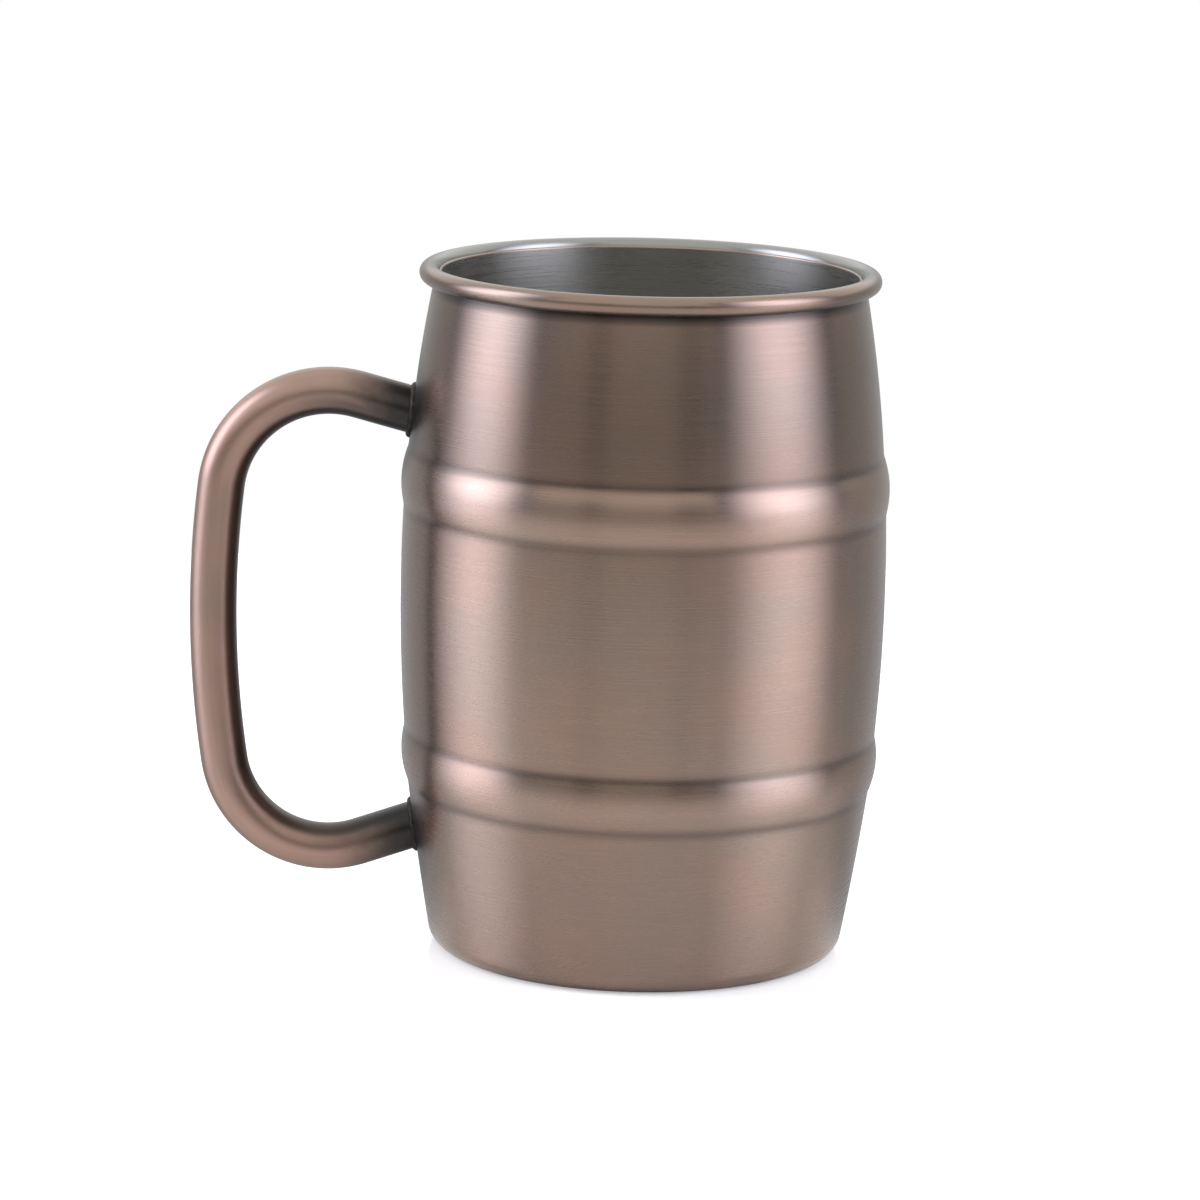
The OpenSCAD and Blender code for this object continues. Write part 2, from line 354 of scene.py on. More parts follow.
def antique_copper(name, tones, lengthwise, roughness, anisotropic, patina_and_shade_reach):
    """Copper plate over steel: brown-pink metal, brush streaks, clear lacquer, and painted light
    from the pieces' attributes: painted shade in the corners, a painted highlight along the hoops
    and a painted grey sheen on the rim. Near a handle joint it is dark up to the first distance
    and clear at the second: patina, with painted shade of the joint and of the legs' inner side."""
    material = bpy.data.materials.new(name)
    material.use_nodes = True
    tree = material.node_tree
    shader = tree.nodes["Principled BSDF"]
    grain = add(tree, "ShaderNodeAttribute", attribute_name="grain").outputs["Vector"]
    corner, crest, worn, inner = (
        add(tree, "ShaderNodeAttribute", attribute_name=label).outputs["Fac"]
        for label in ("corner", "crest", "worn", "inner"))
    place = add(tree, "ShaderNodeTexCoord").outputs["Object"]
    fine = streaks(tree, grain, STREAK_W, STREAK_L, lengthwise, 3.0)
    cloud = add(tree, "ShaderNodeTexNoise", {
        "Vector": place, "Scale": 1 / CLOUD, "Detail": 2.0, "Roughness": 0.5}).outputs["Fac"]
    speck = add(tree, "ShaderNodeTexNoise", {
        "Vector": place, "Scale": 0.4 / MM, "Detail": 3.0, "Roughness": 0.6}).outputs["Fac"]
    patches = add(tree, "ShaderNodeMapRange", {
        "Value": cloud, "From Min": 0.35, "From Max": 0.65}, **EASED)
    marked = add(tree, "ShaderNodeMapRange", {
        "Value": fine, "From Min": 0.3, "From Max": 0.7, "To Max": 0.09}, **EASED)
    # Painted shade on the side of the legs that faces into the loop, near the joints.
    leg_painted_shade = add(tree, "ShaderNodeMath", {
        0: near_joint(tree, place, speck, LEG_SHADE_FROM, LEG_SHADE_TO), 1: inner}, operation="MULTIPLY")
    patina_and_shade = add(tree, "ShaderNodeMath", {
        0: near_joint(tree, place, speck, patina_and_shade_reach[0] * MM, patina_and_shade_reach[1] * MM), 1: leg_painted_shade},
        operation="MAXIMUM")
    # Layers: random tone patches and brush marks, then painted light and patina. The lighter tone is a
    # painted highlight along the hoops, the near-black #241c17 is painted shade in corners, under the rim
    # and on the tube's inner side, the grey #8a8a85 is a painted sheen on the rim, and #191714 is patina
    # with painted shade near the joints and legs.
    tone = layered(tree, tones[0], (
        (patches, tones[1]), (marked, "#6e5f57"), (crest, "#a98f80"), (corner, "#241c17"),
        (worn, "#8a8a85"), (patina_and_shade, "#191714")))
    tree.links.new(tone, shader.inputs["Base Color"])
    shader.inputs["Metallic"].default_value = 1.0
    satin = add(tree, "ShaderNodeMapRange", {
        "Value": fine, "From Min": 0.25, "From Max": 0.75,
        "To Min": roughness - 0.02, "To Max": roughness + 0.02}, **EASED)
    rough = add(tree, "ShaderNodeMix", {0: patina_and_shade, 2: satin, 3: PATINA_ROUGHNESS}, data_type="FLOAT")
    tree.links.new(rough.outputs[0], shader.inputs["Roughness"])
    shader.inputs["Anisotropic"].default_value = anisotropic
    shader.inputs["Anisotropic Rotation"].default_value = 0.25
    if lengthwise:
        brushed = add(tree, "ShaderNodeAttribute", attribute_name="heading").outputs["Vector"]
    else:
        brushed = add(tree, "ShaderNodeTangent", direction_type="RADIAL", axis="Z").outputs[0]
    tree.links.new(brushed, shader.inputs["Tangent"])
    marks = add(tree, "ShaderNodeBump", {"Strength": 0.06, "Distance": MARK_DEPTH, "Height": fine})
    dents = add(tree, "ShaderNodeBump", {
        "Strength": 0.5, "Distance": DENT_DEPTH, "Height": cloud, "Normal": marks})
    tree.links.new(dents.outputs[0], shader.inputs["Normal"])
    shader.inputs["Coat Weight"].default_value = 0.6
    shader.inputs["Coat Roughness"].default_value = 0.3
    return material


barrel_copper = antique_copper(
    "antique copper plate brushed round the barrel", ("#927969", "#8b7869"),
    lengthwise=False, roughness=0.28, anisotropic=0.72, patina_and_shade_reach=(8.5, 16))
tube_copper = antique_copper(
    "antique copper plate brushed along the tube", ("#a38474", "#977e6f"),
    lengthwise=True, roughness=0.38, anisotropic=0.3, patina_and_shade_reach=(3, 17))
print("made", barrel_copper.name, "and", tube_copper.name)

# %% [markdown]
# ## The steel inside and the dark beads
#
# The liner is bare stainless steel, spun in a lathe with a fine abrasive, so it is neutral
# grey with rings of fine scratches and a satin gloss. The weld beads at the handle keep the
# whole of the dark bath, since no brush reaches into them: nearly black, rough, a little green.

# %% Satin steel for the liner, and dark beads
RING_DEPTH = 0.01 * MM
LUMP_DEPTH = 0.06 * MM


def satin_steel(name):
    """Stainless steel spun with a fine abrasive: neutral grey, with rings of scratches."""
    material = bpy.data.materials.new(name)
    material.use_nodes = True
    tree = material.node_tree
    shader = tree.nodes["Principled BSDF"]
    grain = add(tree, "ShaderNodeAttribute", attribute_name="grain").outputs["Vector"]
    fine = streaks(tree, grain, STREAK_W, 2 * STREAK_L, False, 3.0)
    marked = add(tree, "ShaderNodeMapRange", {
        "Value": fine, "From Min": 0.3, "From Max": 0.7}, **EASED)
    tone = layered(tree, "#b0aea6", [(marked, "#a3a099")])
    tree.links.new(tone, shader.inputs["Base Color"])
    shader.inputs["Metallic"].default_value = 1.0
    satin = add(tree, "ShaderNodeMapRange", {
        "Value": fine, "From Min": 0.25, "From Max": 0.75, "To Min": 0.25, "To Max": 0.33}, **EASED)
    tree.links.new(satin.outputs[0], shader.inputs["Roughness"])
    shader.inputs["Anisotropic"].default_value = 0.5
    shader.inputs["Anisotropic Rotation"].default_value = 0.25
    round_axis = add(tree, "ShaderNodeTangent", direction_type="RADIAL", axis="Z")
    tree.links.new(round_axis.outputs[0], shader.inputs["Tangent"])
    rings = add(tree, "ShaderNodeBump", {"Strength": 0.1, "Distance": RING_DEPTH, "Height": fine})
    tree.links.new(rings.outputs[0], shader.inputs["Normal"])
    return material


def bath_dark(name):
    """Copper plate left dark by the bath beside a weld: nearly black and rough."""
    material = bpy.data.materials.new(name)
    material.use_nodes = True
    tree = material.node_tree
    shader = tree.nodes["Principled BSDF"]
    place = add(tree, "ShaderNodeTexCoord").outputs["Object"]
    speck = add(tree, "ShaderNodeTexNoise", {
        "Vector": place, "Scale": 1.2 / MM, "Detail": 4.0, "Roughness": 0.6}).outputs["Fac"]
    mottled = add(tree, "ShaderNodeMapRange", {
        "Value": speck, "From Min": 0.35, "From Max": 0.65}, **EASED)
    tone = layered(tree, "#211f1c", [(mottled, "#423932")])
    tree.links.new(tone, shader.inputs["Base Color"])
    shader.inputs["Metallic"].default_value = 1.0
    rough = add(tree, "ShaderNodeMapRange", {
        "Value": speck, "From Min": 0.3, "From Max": 0.7, "To Min": 0.45, "To Max": 0.62}, **EASED)
    tree.links.new(rough.outputs[0], shader.inputs["Roughness"])
    lumps = add(tree, "ShaderNodeBump", {"Strength": 0.6, "Distance": LUMP_DEPTH, "Height": speck})
    tree.links.new(lumps.outputs[0], shader.inputs["Normal"])
    shader.inputs["Coat Weight"].default_value = 0.15
    shader.inputs["Coat Roughness"].default_value = 0.4
    return material


liner_finish = satin_steel("stainless steel with a spun satin")
weld_finish = bath_dark("antique copper plate left dark at a weld")
print("made", liner_finish.name, "and", weld_finish.name)

# %% [markdown]
# ## Section curves
#
# A turned piece is known by its section, the line that a template gauge would follow from the
# foot to the rim. The section is drawn with a few kinds of line: arcs, and straight stretches
# that bow outwards a little, as sheet does when it is rolled over a form. Points are
# [distance from the axis, height] in millimetres.

# %% Arcs, bowed lines and rounded corners
def polar(angle):
    """The direction at an angle in degrees."""
    return Vector((math.cos(math.radians(angle)), math.sin(math.radians(angle))))


def turned(v):
    """The direction a quarter turn to the right of v, which is the outer side of a rising line."""
    return Vector((v.y, -v.x))


def arc(centre, radius, start, end, count):
    """Points on an arc. Angles are in degrees."""
    return [centre + radius * polar(start + (end - start) * i / count) for i in range(count + 1)]


def bowed(p, q, bow, count):
    """A line from p to q that bows outwards by that height in its middle."""
    side = turned((q - p).normalized())
    return [p.lerp(q, i / count) + 4 * (i / count) * (1 - i / count) * bow * side
            for i in range(count + 1)]


def joined(*lines):
    """One line from several that meet end to end."""
    points = list(lines[0])
    for line in lines[1:]:
        points += line[1:]
    return points


def eased(line, corner, reach, count=8):
    """The line with its corner rounded off, from that far before it to that far after it."""
    near = [i for i, p in enumerate(line) if (p - corner).length < reach]
    a, b = line[near[0] - 1], line[near[-1] + 1]
    curve = [a.lerp(corner, t).lerp(corner.lerp(b, t), t)
             for t in (i / count for i in range(1, count))]
    return line[:near[0]] + curve + line[near[-1] + 1:]


def beside(line, distance):
    """The line moved sideways, to its outer side where the distance is positive."""
    last = len(line) - 1
    return [line[i] + distance * turned((line[min(i + 1, last)] - line[max(i - 1, 0)]).normalized())
            for i in range(last + 1)]


print("a quarter arc of 10 mm ends at", [round(v, 2) for v in arc(Vector((0, 0)), 10, 0, 90, 6)[-1]])

# %% [markdown]
# ## The barrel's section
#
# From the foot up: a small rounding, a wall that leans out, a rolled hoop, the long middle
# wall, a second hoop, and a wall that draws in to the rolled rim. The heights and radii are
# the CAD model's own. Where a hoop meets a wall the sheet can't fold sharply, so these corners
# are eased with a small radius. Painted shade is laid in these creases later.

# %% The barrel's outer face
SHEET = 0.5
FOOT_R = 32.8
FOOT_CORNER_R = 3.6
FOOT_LIP_W = 3.4
HOOP_W = 9.4
HOOP_PROUD = 0.79
MIDDLE_R = 41.5
MIDDLE_TAPER = 0.7
LOWER_HOOP_R = 40.4
LOWER_HOOP_Z = 29.2
UPPER_HOOP_Z = 78
WALL_BOW = 0.6
RIM_R = 38.15
RIM_BEAD_R = 1.65
RIM_CURL_R = RIM_BEAD_R - SHEET
CURL_START, CURL_END = 191, -105
CREASE_REACH = 0.55

rim_centre = Vector((RIM_R, mug_top / MM - RIM_BEAD_R))
foot_corner = arc(Vector((FOOT_R, FOOT_CORNER_R)), FOOT_CORNER_R, -90, -10, 12)
lower_hoop_bottom = Vector((LOWER_HOOP_R, LOWER_HOOP_Z))
lower_hoop_top = Vector((MIDDLE_R - MIDDLE_TAPER / 2, LOWER_HOOP_Z + HOOP_W))
upper_hoop_bottom = Vector((MIDDLE_R + MIDDLE_TAPER / 2, UPPER_HOOP_Z))
upper_hoop_top = Vector((MIDDLE_R - MIDDLE_TAPER / 2, UPPER_HOOP_Z + HOOP_W + MIDDLE_TAPER))
neck = rim_centre + RIM_CURL_R * polar(CURL_START)
wall_face = joined(
    foot_corner,
    bowed(foot_corner[-1], lower_hoop_bottom, WALL_BOW / 4, 44),
    bowed(lower_hoop_bottom, lower_hoop_top, HOOP_PROUD, 36),
    bowed(lower_hoop_top, upper_hoop_bottom, WALL_BOW, 60),
    bowed(upper_hoop_bottom, upper_hoop_top, HOOP_PROUD, 38),
    bowed(upper_hoop_top, neck, WALL_BOW * 0.75, 44))
creases = [lower_hoop_bottom, lower_hoop_top, upper_hoop_bottom, upper_hoop_top]
for crease in creases:
    wall_face = eased(wall_face, crease, CREASE_REACH)
print("wall face:", len(wall_face), "points, widest", round(max(p.x for p in wall_face), 2), "mm")


def wall_r(z):
    """Radius of the barrel's wall at a height, in millimetres."""
    for a, b in zip(wall_face, wall_face[1:]):
        if a.y <= z <= b.y:
            return a.x + (b.x - a.x) * (z - a.y) / max(b.y - a.y, 1e-9)
    return wall_face[-1].x


# %% [markdown]
# ## Geometry Nodes: a turned piece
#
# All the round sheet pieces follow one rule, a section carried round the axis, so one node
# tree makes them all. The section is a small mesh of points and edges. The tree turns it into
# a curve, carries it round a circle, welds what meets at the axis, and stores the grain.
# Spinning a mesh in code would do the shape as well, but with a tree the number of steps and
# the material are inputs that can be changed by hand later, and nothing else has to be redone.

# %% Tree for a turned piece
CIRCLE_R = 30 * MM
STEPS_ROUND = 192
MERGE_GAP = 0.001 * MM
SHARP_ANGLE = math.radians(40)


def new_tree(name, inputs):
    """An empty node tree with a mesh in and out and named inputs. Returns it and its input node."""
    tree = bpy.data.node_groups.new(name, "GeometryNodeTree")
    tree.interface.new_socket("Geometry", in_out="INPUT", socket_type="NodeSocketGeometry")
    tree.interface.new_socket("Geometry", in_out="OUTPUT", socket_type="NodeSocketGeometry")
    for label, kind in inputs.items():
        tree.interface.new_socket(label, in_out="INPUT", socket_type=kind)
    return tree, add(tree, "NodeGroupInput")


def with_grain(tree, skin):
    """Stores each point's place along and across the brushing, from its ring and its line."""
    round_place = add(tree, "ShaderNodeSeparateXYZ", {0: add(
        tree, "GeometryNodeInputNamedAttribute", {"Name": "ring"}, data_type="FLOAT_VECTOR")})
    along = add(tree, "GeometryNodeInputNamedAttribute", {"Name": "along"}, data_type="FLOAT")
    grain = add(tree, "ShaderNodeCombineXYZ", {
        0: round_place.outputs["X"], 1: round_place.outputs["Y"], 2: along})
    skin = add(tree, "GeometryNodeStoreNamedAttribute", {
        "Geometry": skin, "Name": "grain", "Value": grain}, data_type="FLOAT_VECTOR")
    return skin, round_place


def finish_tree(tree, mesh, given):
    """Smooth faces, realized instances and a material: how every tree here ends."""
    smooth = add(tree, "GeometryNodeSetShadeSmooth", {"Geometry": mesh})
    sharp = add(tree, "FunctionNodeCompare", {
        0: add(tree, "GeometryNodeInputMeshEdgeAngle"), 1: SHARP_ANGLE}, operation="GREATER_THAN")
    edges = add(tree, "GeometryNodeSetShadeSmooth", {
        "Geometry": smooth, "Selection": sharp, "Shade Smooth": False}, domain="EDGE")
    real = add(tree, "GeometryNodeRealizeInstances", {"Geometry": edges})
    named = add(tree, "GeometryNodeSetMaterial", {"Geometry": real, "Material": given.outputs["Material"]})
    add(tree, "NodeGroupOutput", {0: named})


turned_tree, given = new_tree("turned piece", {
    "Steps round": "NodeSocketInt", "Material": "NodeSocketMaterial"})
section = add(turned_tree, "GeometryNodeMeshToCurve", {"Mesh": given.outputs["Geometry"]})
circle = add(turned_tree, "GeometryNodeCurvePrimitiveCircle", {
    "Resolution": given.outputs["Steps round"], "Radius": CIRCLE_R})
ring = add(turned_tree, "GeometryNodeStoreNamedAttribute", {
    "Geometry": circle.outputs["Curve"], "Name": "ring",
    "Value": add(turned_tree, "GeometryNodeInputPosition")}, data_type="FLOAT_VECTOR")
skin = add(turned_tree, "GeometryNodeCurveToMesh", {"Curve": ring, "Profile Curve": section})
skin = add(turned_tree, "GeometryNodeMergeByDistance", {"Geometry": skin, "Distance": MERGE_GAP})
skin, _ = with_grain(turned_tree, skin)
finish_tree(turned_tree, skin, given)
print("tree", turned_tree.name, "has", len(turned_tree.nodes), "nodes")


# %% Making a piece with a tree
def line_mesh(name, points, closed, **shades):
    """A mesh of points and edges in metres, with each point's length along the line."""
    mesh = bpy.data.meshes.new(name)
    count = len(points)
    edges = [(i, (i + 1) % count) for i in range(count if closed else count - 1)]
    mesh.from_pydata([Vector(p) * MM for p in points], edges, [])
    along = [0.0]
    for a, b in zip(points, points[1:]):
        along.append(along[-1] + (Vector(b) - Vector(a)).length * MM)
    mesh.attributes.new("along", "FLOAT", "POINT").data.foreach_set("value", along)
    for label in ("corner", "crest", "worn"):
        values = [shades[label](Vector(p)) for p in points] if label in shades else [0.0] * count
        mesh.attributes.new(label, "FLOAT", "POINT").data.foreach_set("value", values)
    return mesh


def run_tree(name, mesh, tree, values):
    """Runs a tree on a mesh and returns the plain mesh that it makes, with its faces outwards."""
    source = bpy.data.objects.new(name + "_line", mesh)
    bpy.context.scene.collection.objects.link(source)
    modifier = source.modifiers.new("tree", "NODES")
    modifier.node_group = tree
    for item in tree.interface.items_tree:
        if item.in_out == "INPUT" and item.name in values:
            modifier[item.identifier] = values[item.name]
    graph = bpy.context.evaluated_depsgraph_get()
    made = bpy.data.meshes.new_from_object(source.evaluated_get(graph), depsgraph=graph)
    bpy.data.objects.remove(source)
    bpy.data.meshes.remove(mesh)
    work = bmesh.new()
    work.from_mesh(made)
    bmesh.ops.recalc_face_normals(work, faces=work.faces)
    work.to_mesh(made)
    work.free()
    made.name = name
    return made


def place_piece(name, mesh, slot, *nodes):
    """Puts a finished mesh in the scene, on the mug's one body, in place of its CAD nodes."""
    piece = bpy.data.objects.new(name, mesh)
    bpy.context.scene.collection.objects.link(piece)
    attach(piece, "root")
    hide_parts(*nodes)
    low = [round(min(v.co[i] for v in mesh.vertices) / MM, 2) for i in range(3)]
    high = [round(max(v.co[i] for v in mesh.vertices) / MM, 2) for i in range(3)]
    print(name, "faces", len(mesh.polygons), "from", low, "to", high)
    return piece


def turned_piece(name, section_points, material, slot, node, closed=True, **shades):
    """A sheet piece made by carrying its section round the mug's axis. The tree's circle takes
    a section with its outer side at +X and its top at -Y."""
    offset = [(p.x - CIRCLE_R / MM, -p.y, 0) for p in section_points]
    on_section = {k: lambda p, f=f: f(Vector((p.x + CIRCLE_R / MM, -p.y))) for k, f in shades.items()}
    mesh = run_tree(name, line_mesh(name, offset, closed, **on_section), turned_tree,
                    {"Steps round": STEPS_ROUND, "Material": material})
    place_piece(name, mesh, slot, node)


# %% [markdown]
# ## The barrel
#
# The barrel is one drawn sheet, from the lip turned in under the foot to the curl of the rim.
# Three values on its section carry painted light for the material. "corner" is painted shade:
# in the creases, under the rolled rim and on the rim bead's underside, a painted darkening on the
# wall above the upper hoop, and the bead a little darker all over. The second value is a painted
# highlight, lighter along the middle of each hoop. The third is a painted grey sheen on the inner
# half of the rim. Painting the shade by hand would look the same, but a rule keeps it in the
# creases when a size changes.

# %% Painted shade, painted highlight and painted grey sheen
# Painted shade in the creases and under the rim, and a painted darkening above the upper hoop.
CREASE_PAINTED_SHADE = 0.42
CREASE_SPREAD = 0.9
UNDER_RIM_PAINTED_SHADOW = 0.9
UNDER_RIM_FROM, UNDER_RIM_TO = 3.4, 2.2
BEAD_DARK = 0.12
ABOVE_HOOP_PAINTED_DARK = 0.24
# Painted highlight: the colour is lightened along the middle of each hoop.
PAINTED_HIGHLIGHT_AMOUNT = 0.38
# Painted grey sheen on the inner half of the rim bead.
SHEEN_OUTSIDE, SHEEN_INSIDE = 0.48, 0.12


def ramp(value, start, end):
    """0 before the start, 1 past the end, and a straight rise between."""
    return min(1.0, max(0.0, (value - start) / (end - start)))


def barrel_painted_shade(p):
    """Painted shade at a point of the barrel: in the creases, under the rolled rim, on the bead's
    underside, and a painted darkening on the wall above the upper hoop.
    """
    if (p - rim_centre).length < RIM_BEAD_R + 0.1:
        underneath = ramp(rim_centre.y - p.y, 0.5 * RIM_BEAD_R, 0.85 * RIM_BEAD_R)
        return BEAD_DARK + (UNDER_RIM_PAINTED_SHADOW - BEAD_DARK) * underneath
    in_crease = max(math.exp(-((p - c).length / CREASE_SPREAD) ** 2) for c in creases)
    under_rim = ramp(p.y, neck.y - UNDER_RIM_FROM, neck.y - UNDER_RIM_TO)
    above_hoop = ramp(p.y, upper_hoop_top.y - 1, upper_hoop_top.y + 1) * (1 - under_rim)
    return min(1.0, CREASE_PAINTED_SHADE * in_crease + UNDER_RIM_PAINTED_SHADOW * under_rim + ABOVE_HOOP_PAINTED_DARK * above_hoop)


def hoop_crest(p):
    """A painted highlight: how much lighter a point is painted, most along the middle of each hoop."""
    near = max(1 - ((p.y - (a.y + b.y) / 2) / (HOOP_W / 2)) ** 2
               for a, b in ((lower_hoop_bottom, lower_hoop_top), (upper_hoop_bottom, upper_hoop_top)))
    return PAINTED_HIGHLIGHT_AMOUNT * max(0.0, near)


def rim_worn(p):
    """Painted grey sheen on the rim, for the lacquer's grey gloss seen at a grazing angle: how grey a point
    is painted, from a little outside the bead's middle inwards.
    """
    away = p - rim_centre
    on_bead = away.length < RIM_BEAD_R + 0.2 and p.y > neck.y
    return ramp(-away.x, -SHEEN_OUTSIDE, SHEEN_INSIDE) if on_bead else 0.0


# Printed: the painted shade in a crease and the painted highlight on a hoop.
print("dark left in a crease:", round(barrel_painted_shade(lower_hoop_bottom), 2),
      "and bright on a hoop:", round(hoop_crest(lower_hoop_bottom.lerp(lower_hoop_top, 0.5)), 2))

# %% The barrel
CURL_POINTS = 40
LIP_POINTS = 9

rim_curl = arc(rim_centre, RIM_CURL_R, CURL_START, CURL_END, CURL_POINTS)
lip = [Vector((FOOT_R - FOOT_LIP_W * (1 - i / (LIP_POINTS - 1)), 0)) for i in range(LIP_POINTS)]
shell_face = joined(lip, wall_face, rim_curl)
# The sheet's hidden side keeps every point of the rim and the lip, and every third of the wall.
shell_back = list(reversed(beside(shell_face, -SHEET)))
shell_section = (shell_face + shell_back[:CURL_POINTS] + shell_back[CURL_POINTS:-LIP_POINTS:3]
                 + shell_back[-LIP_POINTS:])
turned_piece("barrel", shell_section, barrel_copper, "antique_copper", "outer_shell",
             corner=barrel_painted_shade, crest=hoop_crest, worn=rim_worn)

# %% [markdown]
# ## Liner, rim seam, base plate and foot seam
#
# The liner is the drinking cup: a straight wall that narrows a little towards a rounded floor.
# The base plate has a raised middle, pressed up so that the mug stands on its outer ring and
# doesn't rock. A small bead closes each gap where two sheets meet. All four are turned pieces,
# so the tree that made the barrel makes them from their own sections.

# %% Liner
LINER_T = 0.5
LINER_GAP = 0.05
LINER_MOUTH_R = rim_centre.x - RIM_BEAD_R - LINER_GAP - LINER_T
LINER_TOP_Z = rim_centre.y + 0.1
LINER_CORNER_R = 9
LINER_TAPER = 1.2
LINER_FLOOR_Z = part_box("inner_cup")[0].z / MM + LINER_T

foot_centre = Vector((LINER_MOUTH_R - LINER_TAPER - LINER_CORNER_R, LINER_FLOOR_Z + LINER_CORNER_R))
floor_arc = arc(foot_centre, LINER_CORNER_R, -90, 0, 24)
floor_line = [Vector((foot_centre.x * i / 20, LINER_FLOOR_Z)) for i in range(21)]
wall_line = [floor_arc[-1].lerp(Vector((LINER_MOUTH_R, LINER_TOP_Z)), i / 60) for i in range(61)]
liner_face = joined(floor_line, floor_arc, wall_line)
liner_back = list(reversed(beside(liner_face, LINER_T)))
liner_back[-1].x = 0
turned_piece("liner", liner_face + liner_back, liner_finish, "liner_steel", "inner_cup", closed=False)

# %% Rim seam, base plate and foot seam
RIM_SEAM_R = 0.29
FOOT_SEAM_R = 0.42
PANEL_R = FOOT_R - FOOT_LIP_W - 3
PANEL_Z = 1.7
PANEL_STEP_W = 1.5
FOLD_REACH = 0.4

seam = arc(Vector((LINER_MOUTH_R + LINER_T / 2, LINER_TOP_Z)), RIM_SEAM_R, 0, 180, 12)
turned_piece("rim_seam", seam, barrel_copper, "antique_copper", "rim_weld")

panel = [Vector((0, PANEL_Z)), Vector((PANEL_R, PANEL_Z)), Vector((PANEL_R + PANEL_STEP_W, SHEET)),
         Vector((FOOT_R - 1, SHEET))]
panel_face = joined(*[[a.lerp(b, i / n) for i in range(n + 1)]
                      for a, b, n in zip(panel, panel[1:], (30, 10, 8))])
for fold in panel[1:3]:
    panel_face = eased(panel_face, fold, FOLD_REACH)
panel_back = list(reversed(beside(panel_face, -LINER_T)))
panel_back[-1].x = 0
turned_piece("bottom_plate", panel_face + panel_back, barrel_copper, "antique_copper",
             "base_plate", closed=False)

foot_seam_corner = Vector((FOOT_R - FOOT_LIP_W, SHEET))
foot_bead = [foot_seam_corner] + arc(foot_seam_corner, FOOT_SEAM_R, 180, 270, 8)
turned_piece("foot_seam", foot_bead, weld_finish, "dark_copper", "base_weld")

# %% [markdown]
# ## The handle's line
#
# The handle is one length of steel tube, bent twice. Its line lies in the plane through the
# mug's axis: a straight leg from the upper joint, a bend, a grip with a slight bow, a tighter
# bend and a straight leg back to the lower joint. Each bend's centre is worked out so that the
# bend runs smoothly into the leg on one side and into the grip on the other.

# %% Centre line of the handle
TUBE_R = 4.08
TUBE_WALL = 0.8
GRIP_BOW_R = 181
HANDLE_REACH = 74.8
GRIP_Z = 59.2
UPPER_BEND_R = 19
LOWER_BEND_R = 18.2
UPPER_JOINT_Z = 94
LOWER_JOINT_Z = 20.3
UPPER_LEG_RISE = 14.6
LOWER_LEG_DROP = 19.3

grip_centre = Vector((HANDLE_REACH - GRIP_BOW_R, GRIP_Z))
upper_joint = Vector((wall_r(UPPER_JOINT_Z), UPPER_JOINT_Z))
lower_joint = Vector((wall_r(LOWER_JOINT_Z), LOWER_JOINT_Z))
upper_leg = polar(UPPER_LEG_RISE)
lower_leg = polar(-LOWER_LEG_DROP)
upper_inside = turned(upper_leg)
lower_inside = -turned(lower_leg)


def bend_centre(joint, leg, inside, radius):
    """Centre of the bend that touches a leg on its inner side and the grip from within."""
    a = joint + radius * inside
    g = a - grip_centre
    b = g.dot(leg)
    return a + leg * (math.sqrt(b * b - g.dot(g) + (GRIP_BOW_R - radius) ** 2) - b)


def angle_of(v):
    """Angle of a direction in degrees, counted from the axis that points outwards."""
    return math.degrees(math.atan2(v.y, v.x))


upper_bend = bend_centre(upper_joint, upper_leg, upper_inside, UPPER_BEND_R)
lower_bend = bend_centre(lower_joint, lower_leg, lower_inside, LOWER_BEND_R)
grip_top = angle_of(upper_bend - grip_centre)
grip_bottom = angle_of(lower_bend - grip_centre)
upper_arc = arc(upper_bend, UPPER_BEND_R, 90 + UPPER_LEG_RISE, grip_top, 40)
grip_arc = arc(grip_centre, GRIP_BOW_R, grip_top, grip_bottom, 44)
lower_arc = arc(lower_bend, LOWER_BEND_R, grip_bottom, -90 - LOWER_LEG_DROP, 40)
upper_line = [upper_joint.lerp(upper_arc[0], i / 14) for i in range(15)]
lower_line = [lower_arc[-1].lerp(lower_joint, i / 16) for i in range(17)]
handle_line = joined(upper_line, upper_arc, grip_arc, lower_arc, lower_line)
tube_length = sum((b - a).length for a, b in zip(handle_line, handle_line[1:]))
print("handle tube:", round(tube_length, 1), "mm long")

# %% [markdown]
# ## Geometry Nodes: a tube along a line
#
# The handle and the weld beads follow a path, so they share a second tree: a circle carried
# along the line. A noise with a fixed seed can swell and narrow the tube as it goes, for the
# ripples of a weld bead, and its amount is zero for the handle.
#
# The tree marks the side of the tube that faces into the loop, for painted shade: "corner" is
# the darkest strip, a painted dark reflection of the mug, and "inner" is a wider one that carries
# painted shade further along the legs from the joints. A lathe can't turn a bent tube, so it is
# brushed lengthwise, and "heading" keeps that direction for the shine.

# %% Tree for a tube along a line
RIPPLE_SEED = 7.0
# Both strips are painted shade on the side of the tube facing into the loop; an input of the tree sets how
# strong it is.
STRIPS = {"corner": (0.5, 0.72), "inner": (-0.2, 0.4)}

